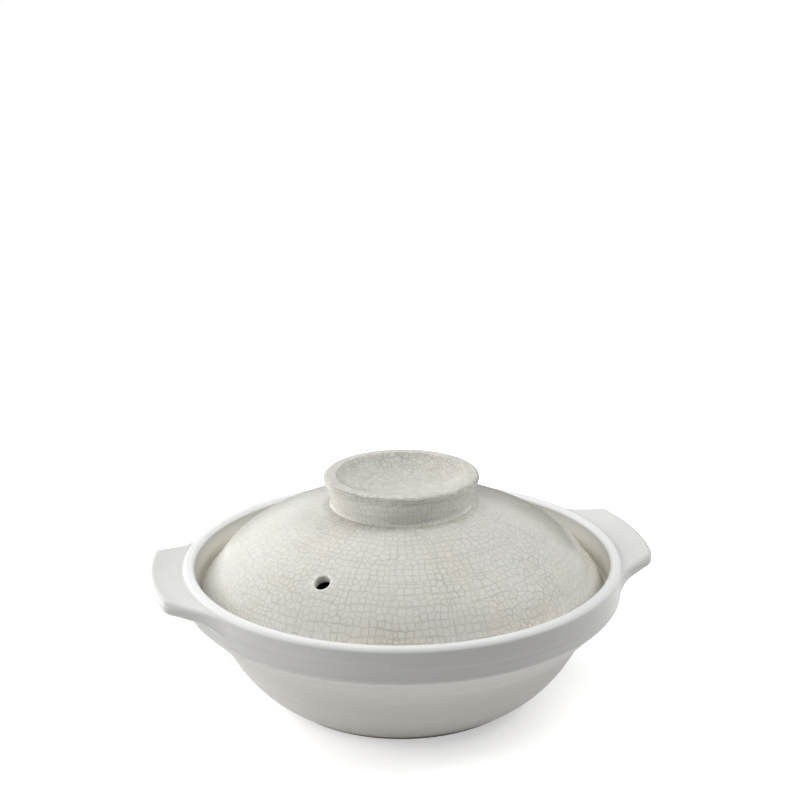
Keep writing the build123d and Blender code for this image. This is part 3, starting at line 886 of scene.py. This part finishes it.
def makeLamps():
    for name, (bearing, height, size, power) in lamps.items():
        lamp = bpy.data.lights.new(name, "AREA")
        lamp.shape, lamp.size, lamp.energy = "SQUARE", size, power
        holder = bpy.data.objects.new(name, lamp)
        bpy.context.scene.collection.objects.link(holder)
        turn, rise = np.radians((bearing, height))
        way = Vector((np.cos(rise) * np.cos(turn), np.cos(rise) * np.sin(turn), np.sin(rise)))
        place = Matrix.Translation(Vector((0, 0, lampAim)) + way * lampDistance)
        aim = way.to_track_quat("Z", "Y").to_matrix().to_4x4()
        holder.matrix_world = lookFrom(view["azimuth"]) @ place @ aim
        holder.visible_glossy = False  # the white room is what the glaze mirrors


def seenDirectly(tree):  # 1 where the camera, a gloss or a clear body looks, 0 for plain light
    rays = addNode(tree, "LightPath").outputs
    both = addNode(tree, "Math", "MAXIMUM", [rays["Is Camera Ray"], rays["Is Glossy Ray"]])
    return addNode(tree, "Math", "MAXIMUM", [both, rays["Is Transmission Ray"]])


def makeWorld():
    world = bpy.data.worlds.new("whiteRoom")
    bpy.context.scene.world = world
    world.use_nodes = True
    tree = world.node_tree
    tree.nodes.clear()
    room = addNode(tree, "Background", {}, {"Color": (1, 1, 1, 1), "Strength": seenDirectly(tree)})
    addNode(tree, "OutputWorld", {}, {"Surface": room})


floorCard = dict(
    size=6.0, white="#e8e8e8",        # metres to its sides, colour of the card
    near=0.25, far=1.1, nearGlow=0.48, farGlow=1.0,  # metres from the middle of the pot, and glow there
)


def makeFloor():
    # Matt white card. Seen directly it glows as well, more where the lamps fade out, so that it looks white.
    c = floorCard
    size = c["size"]
    mesh = bpy.data.meshes.new("floor")
    corners = [(-size, -size, 0), (size, -size, 0), (size, size, 0), (-size, size, 0)]
    mesh.from_pydata(corners, [], [(0, 1, 2, 3)])
    floor = bpy.data.objects.new("floor", mesh)
    bpy.context.scene.collection.objects.link(floor)
    material, tree = newMaterial("mattWhiteCard")
    card = addNode(tree, "BsdfDiffuse", {}, {"Color": linear(c["white"])})
    inRoom = addNode(tree, "TexCoord").outputs["Object"]
    away = addNode(tree, "VectorMath", "LENGTH", [inRoom]).outputs["Value"]
    level = addNode(tree, "MapRange", {}, [away, c["near"], c["far"], c["nearGlow"], c["farGlow"]])
    glow = addNode(tree, "Emission", {}, {"Color": (1, 1, 1, 1), "Strength": level})
    bright = addNode(tree, "AddShader", {}, [card, glow])
    seen = addNode(tree, "MixShader", {}, [seenDirectly(tree), card, bright])
    addNode(tree, "OutputMaterial", {}, {"Surface": seen})
    mesh.materials.append(material)


flags = dict(                         # bearings for a camera at -Y, height in metres, grey
    flagRight=(48, 87, 0.21, "#1c1c1e"),
    flagLeft=(87, 124, 0.14, "#8c8e90"),
)
flagDistance, flagInner = 0.55, 0.2   # metres from the middle of the pot
flagLift, flagPoints = 0.002, 12      # metres over the floor, and points round its bend


def makeFlags():
    # Grey cards behind the pot, bent up from the floor. They show only as reflections, and draw the soft grey
    # line inside the far edges of the glossy lid.
    for name, (start, end, height, grey) in flags.items():
        bearings = np.radians(np.linspace(start, end, flagPoints) + view["azimuth"])
        way = np.stack([np.cos(bearings), np.sin(bearings), 0 * bearings], axis=1)
        foot = flagDistance * way + (0, 0, flagLift)
        rows = np.stack([flagInner * way + (0, 0, flagLift), foot, foot + (0, 0, height)])
        faces = gridFaces(numbered(rows), False)
        mesh = bpy.data.meshes.new(name)
        mesh.from_pydata(rows.reshape(-1, 3).tolist(), [], faces.tolist())
        material, tree = newMaterial(name)
        glow = addNode(tree, "Emission", {}, {"Color": linear(grey)})
        addNode(tree, "OutputMaterial", {}, {"Surface": glow})
        mesh.materials.append(material)
        flag = bpy.data.objects.new(name, mesh)
        bpy.context.scene.collection.objects.link(flag)
        flag.visible_camera = flag.visible_diffuse = flag.visible_shadow = False


makeCamera()
makeLamps()
makeWorld()
makeFloor()
makeFlags()
bpy.context.scene.view_settings.view_transform = "Standard"
print("stage ready")
